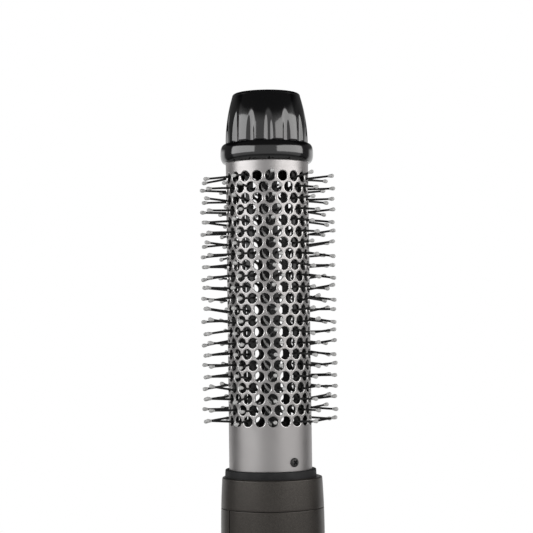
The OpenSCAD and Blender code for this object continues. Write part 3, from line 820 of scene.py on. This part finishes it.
def build_strip(n):
    label = f"{n + 1:02d}"
    node = f"bristle_strip_{label}"
    reach = BALL_AT - BAR_OUT
    bar_z0, bar_z1 = FIRST_ROW - 2.8, LAST_ROW + 3.3
    bar_middle = (BAR_IN + BAR_OUT) / 2
    spin = turned(STRIP_PHASE + n * STRIP_STEP)
    strip, tips = Mesh(), Mesh()
    # the bar, with its long edges rounded
    outline = rounded([(-1.3, -BAR_IN, 0.2), (1.3, -BAR_IN, 0.2),
                       (1.85, -BAR_OUT, 0.2), (-1.85, -BAR_OUT, 0.2)], 3)
    strip.loft([[spin @ Vector((x * s, (y + bar_middle) * s - bar_middle, z)) for x, y in outline]
                for z, s in ((bar_z0, 0.9), (bar_z0 + 0.15, 1), (bar_z1 - 0.15, 1), (bar_z1, 0.9))])
    # lugs and pegs at both ends
    for z0, z1, peg0, peg1 in (
        (high("scroll_cam_lower") + 0.1, bar_z0 + 1, low(node), high("scroll_cam_lower") + 0.2),
        (bar_z1 - 1, low("scroll_cam_upper") - 0.1, low("scroll_cam_upper") - 0.2, high(node)),
    ):
        lug = [(-0.7, -15.2, 0.2), (0.7, -15.2, 0.2), (0.7, -13.5, 0.2), (-0.7, -13.5, 0.2)]
        strip.loft([[spin @ Vector((x, y, z)) for x, y in rounded(lug, 3)] for z in (z0, z1)])
        peg = [(0, peg0), (0.6, peg0), (0.7, peg0 + 0.1), (0.7, peg1 - 0.1), (0.6, peg1), (0, peg1)]
        strip.spin(peg, 20, place=spin @ Matrix.Translation((0, -PEG_AT, 0)), closed=False)
    for row in range(ROWS):
        place = bristle_place(n, row)
        move = bent(place, n, row, reach)
        # a foot on the bar, then a pin that thins slightly towards its end
        pin = [(0, -0.6), (0.515, -0.6), (0.515, 0.1), (PIN_R, 0.5)]
        pin += [(PIN_R - 0.06 * s, 0.5 + (reach - 1.3) * s) for s in span(0, 1, 6)[1:]]
        spin_bent(strip, [*pin, (0, reach - 0.8)], 12, move)
        drop = [(0, reach - 1.7), (PIN_R, reach - 1.7), (PIN_R + 0.06, reach - 1.58)]
        drop += [(PIN_R + 0.06 + (BALL_R - PIN_R - 0.06) * smooth_step(s), reach - 1.58 + 1.3 * s)
                 for s in span(0, 1, 5)[1:]]
        drop += [(BALL_R * math.cos(a), reach + BALL_R * math.sin(a)) for a in
                 (math.radians(d) for d in (0, 20, 40, 60, 78, 90))]
        drop[-1] = (0, drop[-1][1])
        spin_bent(tips, drop, 16, move)
    piece = strip.object(f"bristles_{label}", [LOOKS["nylon_black"]], 45)
    place_piece(piece, f"strip_{label}", "nylon_black", node)
    piece = tips.object(f"drops_{label}", [LOOKS["tip_grey"]], 70)
    place_piece(piece, f"strip_{label}", "tip_grey", f"ball_tips_{label}")


# ---------------------------------------------------------------- handle


def build_nose():
    z0, z1 = NOSE_Z0 + SEAM, HANDLE_TOP + NOSE_RIM
    edge = 0.6
    top_r = handle_r(HANDLE_TOP)
    y = HANDLE_SHIFT
    outside = [(handle_r(z0) - 0.14, z0, y), (handle_r(z0) - 0.04, z0 + 0.04, y)]
    outside += [(handle_r(min(z, HANDLE_TOP)), z, y) for z in span(z0 + 0.14, z1 - edge, 16)]
    outside += [(r, z, y) for r, z in arc(top_r - edge, z1 - edge, edge, 0, 90, 8)[1:]]
    bore = BARREL_R + 0.05
    spigot = handle_r(NOSE_Z0) - SHELL_WALL - 0.05
    seat = COLLAR_R + 0.04
    inside = [(seat, z1, 0), (seat, HANDLE_TOP, 0), (bore, HANDLE_TOP, 0), (bore, NOSE_Z0 - SPIGOT, 0),
              (spigot - 0.2, NOSE_Z0 - SPIGOT, y), (spigot, NOSE_Z0 - SPIGOT + 0.2, y), (spigot, z0, y)]
    mesh = Mesh()
    mesh.spin(outside + inside, 192)
    nose = mesh.object("nose_cover", [LOOKS["handle_plastic"]])
    place_piece(nose, "handle", "handle_plastic", "nose_ring")


def half_shell(name, front):
    """Half of the grip. Its edges are rolled over, and the parting line is a groove that a lip closes."""
    z0, z1 = CAP_Z1 + SEAM, NOSE_Z0 - SEAM
    roll, lip = 0.25, 0.12
    gap, groove, touch = 0.38, 0.9, 0.01
    foot = [z0, z0 + 0.03, z0 + lip, z0 + 2 * lip, z0 + 4 * lip]
    heights = [*foot, *span(z0 + 2, z1 - 2, 62), *[z0 + z1 - z for z in foot[::-1]]]
    near_edge = [0, 0.04, 0.12, 0.25, 0.6]
    mesh = Mesh()
    sections = []
    for z in heights:
        r = handle_r(z)
        end = min(z - z0, z1 - z)
        sink = lip - math.sqrt(max(lip**2 - (lip - min(end, lip)) ** 2, 0))
        start = math.asin(gap / r)
        near = [start + e / r for e in near_edge]
        middle = span(start + 2.2 / r, math.pi - start - 2.2 / r, 60)
        angles = near + middle + [math.pi - a for a in near[::-1]]
        loop = []
        for a in angles:
            edge = min(a - start, math.pi - start - a) * r
            dip = roll - math.sqrt(max(roll**2 - (roll - min(edge, roll)) ** 2, 0))
            q = r - max(sink, dip)
            loop.append((q * math.cos(a), q * math.sin(a)))
        floor = math.sqrt((r - groove) ** 2 - gap**2)
        inner = r - SHELL_WALL
        tuck = math.asin(touch / inner)
        loop += [(-floor, gap), (-floor, touch)]
        loop += [(inner * math.cos(a), inner * math.sin(a)) for a in span(math.pi - tuck, tuck, 48)]
        loop += [(floor, touch), (floor, gap)]
        sign = -1 if front else 1
        sections.append([Vector((x, HANDLE_SHIFT + sign * y, z)) for x, y in loop])
    mesh.loft(sections)
    return mesh.object(name, [LOOKS["handle_plastic"]])


def switch_place():
    """The crest of the handle at the switch: +Z along the slider's travel, -Y outwards."""
    slope = math.atan((handle_r(SWITCH_Z + 2) - handle_r(SWITCH_Z - 2)) / 4)
    at = Vector((0, HANDLE_SHIFT - handle_r(SWITCH_Z), SWITCH_Z))
    return Matrix.Translation(at) @ Matrix.Rotation(slope, 4, "X")


def screw_spots():
    """Where the shell screws stand, as (x, z)."""
    return [(s * (handle_r(z) - SHELL_WALL - 1.7), z) for z in SCREW_Z for s in (-1, 1)]


def build_shells():
    front = half_shell("grip_front", True)
    opening = Mesh()
    opening.loft([plate_loop(13.2, 28.2, 3.1, y, switch_place()) for y in (5, -4)])
    front = cut(front, [opening.object("opening", [LOOKS["handle_plastic"]])])
    place_piece(front, "handle", "handle_plastic", "grip_shell_front")
    rear = half_shell("grip_rear", False)
    wells = []
    for x, z in screw_spots():
        well = Mesh()
        face = Matrix.Translation((x, HANDLE_SHIFT + 6.5, z)) @ Matrix.Rotation(math.radians(-90), 4, "X")
        well.spin([(0, 0), (WELL_R, 0), (WELL_R, 20), (0, 20)], 48, place=face, closed=False)
        wells.append(well.object("well", [LOOKS["handle_plastic"]]))
    rear = cut(rear, wells)
    # the lining of each screw's well
    sleeves = Mesh()
    for x, z in screw_spots():
        face = Matrix.Translation((x, HANDLE_SHIFT + 5.5, z)) @ Matrix.Rotation(math.radians(-90), 4, "X")
        depth = max(math.sqrt(max((handle_r(z) - 1.2) ** 2 - (abs(x) + WELL_R) ** 2, 4)) - 5.5, 1.5)
        wall = [(WELL_R, 0), (WELL_R - 0.01, depth), (WELL_R + 0.4, depth), (WELL_R + 0.4, 0)]
        sleeves.spin(wall, 48, place=face)
    lining = sleeves.object("well_lining", [LOOKS["handle_plastic"]])
    joined("grip_rear_shell", [rear, lining], "handle", "handle_plastic", "grip_shell_rear")


def build_switch():
    place = switch_place()
    # plate: a step in the handle's opening, then a raised face with the slider's slot
    plate = Mesh()
    add_plate(plate, 13, 28, 3, 2.6, -0.35, 0.5, place)
    body = plate.object("plate", [LOOKS["matte_black"], WHITE_PRINT])
    slot = Mesh()
    slot.loft([plate_loop(3.4, 3.6 + SWITCH_TRAVEL, 0.4, y, place) for y in (4, -2)])
    track = Mesh()
    track.loft([plate_loop(8.4, 21.4, 1.9, y, place) for y in (-0.1, -2)])
    black = [LOOKS["matte_black"]]
    body = cut(body, [slot.object("slot", black), track.object("track", black)])
    dots = Mesh()
    for i in range(4):
        at = Vector((5.2, -0.33, -SWITCH_TRAVEL / 2 + i * SWITCH_TRAVEL / 3))
        dot = place @ Matrix.Translation(at) @ Matrix.Rotation(math.radians(90), 4, "X")
        r = 0.28 + 0.09 * i  # the marks grow with the heat setting
        dots.spin([(0, 0), (r, 0), (r, 0.04), (r - 0.04, 0.06), (0, 0.06)], 24, 1, dot, closed=False)
    marks = dots.object("marks", [LOOKS["matte_black"], WHITE_PRINT])
    joined("switch_bezel", [body, marks], "handle", "matte_black", "switch_plate")
    # slider: a rounded cap with five grip ribs, on a stem
    slider = Mesh()
    rest = place @ Matrix.Translation((0, 0, -SWITCH_TRAVEL / 2))
    add_plate(slider, 7.6, 11, 1.6, -0.6, -2.1, 0.45, rest)
    slider.loft([plate_loop(3, 3, 0.2, y, rest) for y in (-0.7, 4.9)])
    for i in range(5):
        z = -3.2 + 1.6 * i
        rib = rounded([(-2.9, 0, 0), (-2.9, 0.55, 0.25), (2.9, 0.55, 0.25), (2.9, 0, 0)])
        swell = ((-0.42, 0.1), (-0.3, 0.75), (-0.12, 1), (0.12, 1), (0.3, 0.75), (0.42, 0.1))
        slider.loft([[rest @ Vector((x, -2.05 - t * s, z + dz)) for x, t in rib] for dz, s in swell])
    piece = slider.object("switch_thumb", [LOOKS["slider_grey"]])
    place_piece(piece, "slider", "slider_grey", "switch_slider")


def build_tail():
    top, edge, y = CAP_Z1 - SEAM, 3.0, HANDLE_SHIFT
    floor0, floor1, rim = 3.2, 5.6, 13.4
    side = arc(handle_r(edge) - edge, edge, edge, -90, 0, 10)
    side += [(handle_r(z), z) for z in span(edge + 0.8, top - 0.14, 26)]
    side += [(handle_r(top) - 0.04, top - 0.04), (handle_r(top) - 0.14, top)]
    spigot = handle_r(top + SPIGOT) - SHELL_WALL - 0.05
    inner = TAIL_R - SHELL_WALL
    end = top + SPIGOT
    inside = [(spigot + 0.1, top), (spigot, top + 0.1), (spigot, end - 0.2), (spigot - 0.2, end),
              (spigot - 1.3, end), (inner - 0.8, floor1 + 3), (inner - 1.8, floor1)]
    profile = [(GLAND_R + 0.06, floor0 + 0.2), (GLAND_R + 0.26, floor0), (rim - 0.3, floor0),
               (rim, floor0 - 0.3), (rim, 0.25), (rim + 0.25, 0), *side, *inside, (GLAND_R + 0.06, floor1)]
    mesh = Mesh()
    mesh.spin([(r, z, y) for r, z in profile], 200)
    cap = mesh.object("tail", [LOOKS["handle_plastic"]])
    cutters = []
    for k in range(20):
        slot = Mesh()
        place = Matrix.Translation((0, y, 15.5)) @ turned(k * 18)
        slot.loft([plate_loop(w, 10.2 + w, w / 2 - 0.001, -r, place, 6) for r, w in
                   ((13.5, 1.8), (18.15, 1.8), (18.75, 2.0), (21, 3.6))])
        cutters.append(slot.object("slot", [LOOKS["handle_plastic"]]))
    cap = cut(cap, cutters)
    place_piece(cap, "handle", "handle_plastic", "tail_cap")


def build_gland():
    bore, y = 3.6, HANDLE_SHIFT
    bottom, top = low("swivel_gland"), high("swivel_gland")
    flange = [(bore, bottom, 0.5), (7.6, bottom, 0), (8.4, bottom + 0.35, 0.3), (9, 2.0, 0.3), (9, 3.05, 0.1)]
    neck = [(GLAND_R, 3.05, 0), (GLAND_R, top - 2, 0), (GLAND_R - 0.7, top - 2, 0),
            (GLAND_R - 0.7, top - 0.8, 0), (GLAND_R, top - 0.8, 0), (GLAND_R - 0.5, top, 0), (bore, top, 0)]
    mesh = Mesh()
    mesh.spin([(r, z, y) for r, z in rounded(flange + neck)], 96)
    gland = mesh.object("cord_gland", [LOOKS["black_rubber"]])
    place_piece(gland, "gland", "black_rubber", "swivel_gland")


# ---------------------------------------------------------------- studio

PHOTO_AZIMUTH = -34.0
CAMERA_AWAY = 641.0
CAMERA_Z = 227.9
CAMERA_ROLL = -0.73
AIM_Z, AIM_LEFT = 254.9, 0.7  # what the camera is aimed at: a point left of the axis
LENS, SENSOR = 105.1, 36.0
BOX_AWAY, BOX_Z, BOX_TALL = 800, 470, 0.37


def facing(azimuth, away, z):
    """The point at a distance from the axis, at an azimuth and height."""
    a = math.radians(azimuth)
    return Vector((away * math.sin(a), -away * math.cos(a), z)) * MM


def build_camera():
    data = bpy.data.cameras.new("camera")
    data.lens, data.sensor_width = LENS, SENSOR
    camera = bpy.data.objects.new("camera", data)
    bpy.context.scene.collection.objects.link(camera)
    camera.location = facing(PHOTO_AZIMUTH, CAMERA_AWAY, CAMERA_Z)
    right = facing(PHOTO_AZIMUTH + 90, 1, 0)
    aim = Vector((0, 0, AIM_Z * MM)) - right * AIM_LEFT
    turn = (aim - camera.location).to_track_quat("-Z", "Y")
    roll = Matrix.Rotation(math.radians(CAMERA_ROLL), 4, "Z")
    camera.rotation_euler = (turn.to_matrix().to_4x4() @ roll).to_euler()
    bpy.context.scene.camera = camera


def softbox(name, azimuth, width, power, tint=(1, 1, 1)):
    """A soft area light that faces the barrel and isn't seen by the camera."""
    data = bpy.data.lights.new(name, "AREA")
    data.shape, data.size, data.size_y = "RECTANGLE", width, BOX_TALL
    data.energy, data.color = power, tint
    light = bpy.data.objects.new(name, data)
    bpy.context.scene.collection.objects.link(light)
    light.location = facing(azimuth, BOX_AWAY, BOX_Z)
    aim = Vector((0, 0, light.location.z)) - light.location
    light.rotation_euler = aim.to_track_quat("-Z", "Y").to_euler()
    light.visible_camera = False


FRONT, GAP, BEHIND = 0.52, 0.08, 0.62  # radiance of the surroundings


def ramp(nodes, links, value, stops):
    """A factor that follows (value, factor) stops. Values run from -1 to 1."""
    shift = nodes.new("ShaderNodeMapRange")
    shift.inputs["From Min"].default_value = -1
    links.new(value, shift.inputs["Value"])
    node = nodes.new("ShaderNodeValToRGB")
    while len(node.color_ramp.elements) < len(stops):
        node.color_ramp.elements.new(0.5)
    for element, (at, level) in zip(node.color_ramp.elements, stops):
        element.position = (at + 1) / 2
        element.color = (level, level, level, 1)
    links.new(shift.outputs["Result"], node.inputs["Fac"])
    return node.outputs["Color"]


def blend(nodes, links, how, a, b):
    """Two colours multiplied or added. The second may be a plain colour."""
    node = nodes.new("ShaderNodeMix")
    node.data_type, node.blend_type = "RGBA", how
    node.inputs[0].default_value = 1
    links.new(a, node.inputs[6])
    if isinstance(b, tuple):
        node.inputs[7].default_value = b
    else:
        links.new(b, node.inputs[7])
    return node.outputs[2]


def build_world():
    """White for the camera. For everything else, a grey band in front, a dark gap, and white behind."""
    world = bpy.data.worlds.new("studio")
    bpy.context.scene.world = world
    world.use_nodes = True
    nodes, links = world.node_tree.nodes, world.node_tree.links
    where = nodes.new("ShaderNodeTexCoord").outputs["Generated"]
    front = nodes.new("ShaderNodeVectorMath")
    front.operation = "DOT_PRODUCT"
    front.inputs[1].default_value = facing(PHOTO_AZIMUTH, 1, 0) / MM
    links.new(where, front.inputs[0])
    height = nodes.new("ShaderNodeSeparateXYZ")
    links.new(where, height.inputs["Vector"])
    before = ramp(nodes, links, front.outputs["Value"],
                  [(-1, 0), (-0.12, 0), (0.0, FRONT - GAP), (1, FRONT - GAP)])
    before = blend(nodes, links, "ADD", before, (GAP, GAP, GAP, 1))
    level = ramp(nodes, links, height.outputs["Z"],
                 [(-1, 0.1), (-0.4, 0.12), (-0.2, 1), (0.36, 1), (0.46, 0.08), (1, 0.08)])
    before = blend(nodes, links, "MULTIPLY", before, level)
    behind = ramp(nodes, links, front.outputs["Value"], [(-1, BEHIND), (-0.7, BEHIND), (-0.58, 0), (1, 0)])
    level_behind = ramp(nodes, links, height.outputs["Z"],
                        [(-1, 0), (-0.5, 0), (-0.3, 1), (0.12, 1), (0.2, 0), (1, 0)])
    both = blend(nodes, links, "ADD", before, blend(nodes, links, "MULTIPLY", behind, level_behind))
    lit = nodes["Background"]
    links.new(both, lit.inputs["Color"])
    seen = nodes.new("ShaderNodeBackground")
    seen.inputs["Color"].default_value = (1, 1, 1, 1)
    mix = nodes.new("ShaderNodeMixShader")
    links.new(nodes.new("ShaderNodeLightPath").outputs["Is Camera Ray"], mix.inputs["Fac"])
    links.new(lit.outputs["Background"], mix.inputs[1])
    links.new(seen.outputs["Background"], mix.inputs[2])
    links.new(mix.outputs["Shader"], nodes["World Output"].inputs["Surface"])


def build_studio():
    bpy.context.scene.view_settings.view_transform = "Standard"
    build_world()
    softbox("box_left", PHOTO_AZIMUTH - 63, 1.04, 2.7)
    softbox("box_right", PHOTO_AZIMUTH + 62, 1.2, 3.05, (1.0, 0.99, 0.98))
    # pale floor that fades out round the object. Its faces point down, and that side is clear
    floor = Mesh()
    floor.spin([(r, -0.05) for r in (0, *span(60, 780, 6))], 96, closed=False)
    look = Look("floor", (0.82, 0.82, 0.81), 0.7)
    look.rough(look.noise(30, 3), 0.65, 0.8)
    away = look.nodes.new("ShaderNodeVectorMath")
    away.operation = "LENGTH"
    look.links.new(look.where, away.inputs[0])
    # the floor looks pale without throwing light up on the object
    path = look.nodes.new("ShaderNodeLightPath")
    look.set("Emission Color", (1, 1, 1, 1))
    glow = look.ranged(path.outputs["Is Camera Ray"], 0, 0.5, 0, 1)
    look.links.new(glow, look.shader.inputs["Emission Strength"])
    fade = look.nodes.new("ShaderNodeMixShader")
    look.links.new(look.ranged(away.outputs["Value"], 0, 1, 0.3, 0.76), fade.inputs["Fac"])
    look.links.new(look.shader.outputs["BSDF"], fade.inputs[1])
    clear = look.nodes.new("ShaderNodeBsdfTransparent").outputs["BSDF"]
    look.links.new(clear, fade.inputs[2])
    side = look.nodes.new("ShaderNodeMixShader")
    look.links.new(look.nodes.new("ShaderNodeNewGeometry").outputs["Backfacing"], side.inputs["Fac"])
    look.links.new(clear, side.inputs[1])
    look.links.new(fade.outputs["Shader"], side.inputs[2])
    look.links.new(side.outputs["Shader"], look.nodes["Material Output"].inputs["Surface"])
    piece = floor.object("floor", [look.material])


# ---------------------------------------------------------------- assembly

build_camera()
build_studio()
paint_cad_nodes()
build_knob()
build_shaft()
build_cap()
build_ring()
build_barrel()
build_barrel_screws()
build_collar()
for number in range(STRIPS):
    build_strip(number)
build_nose()
build_shells()
build_switch()
build_tail()
build_gland()
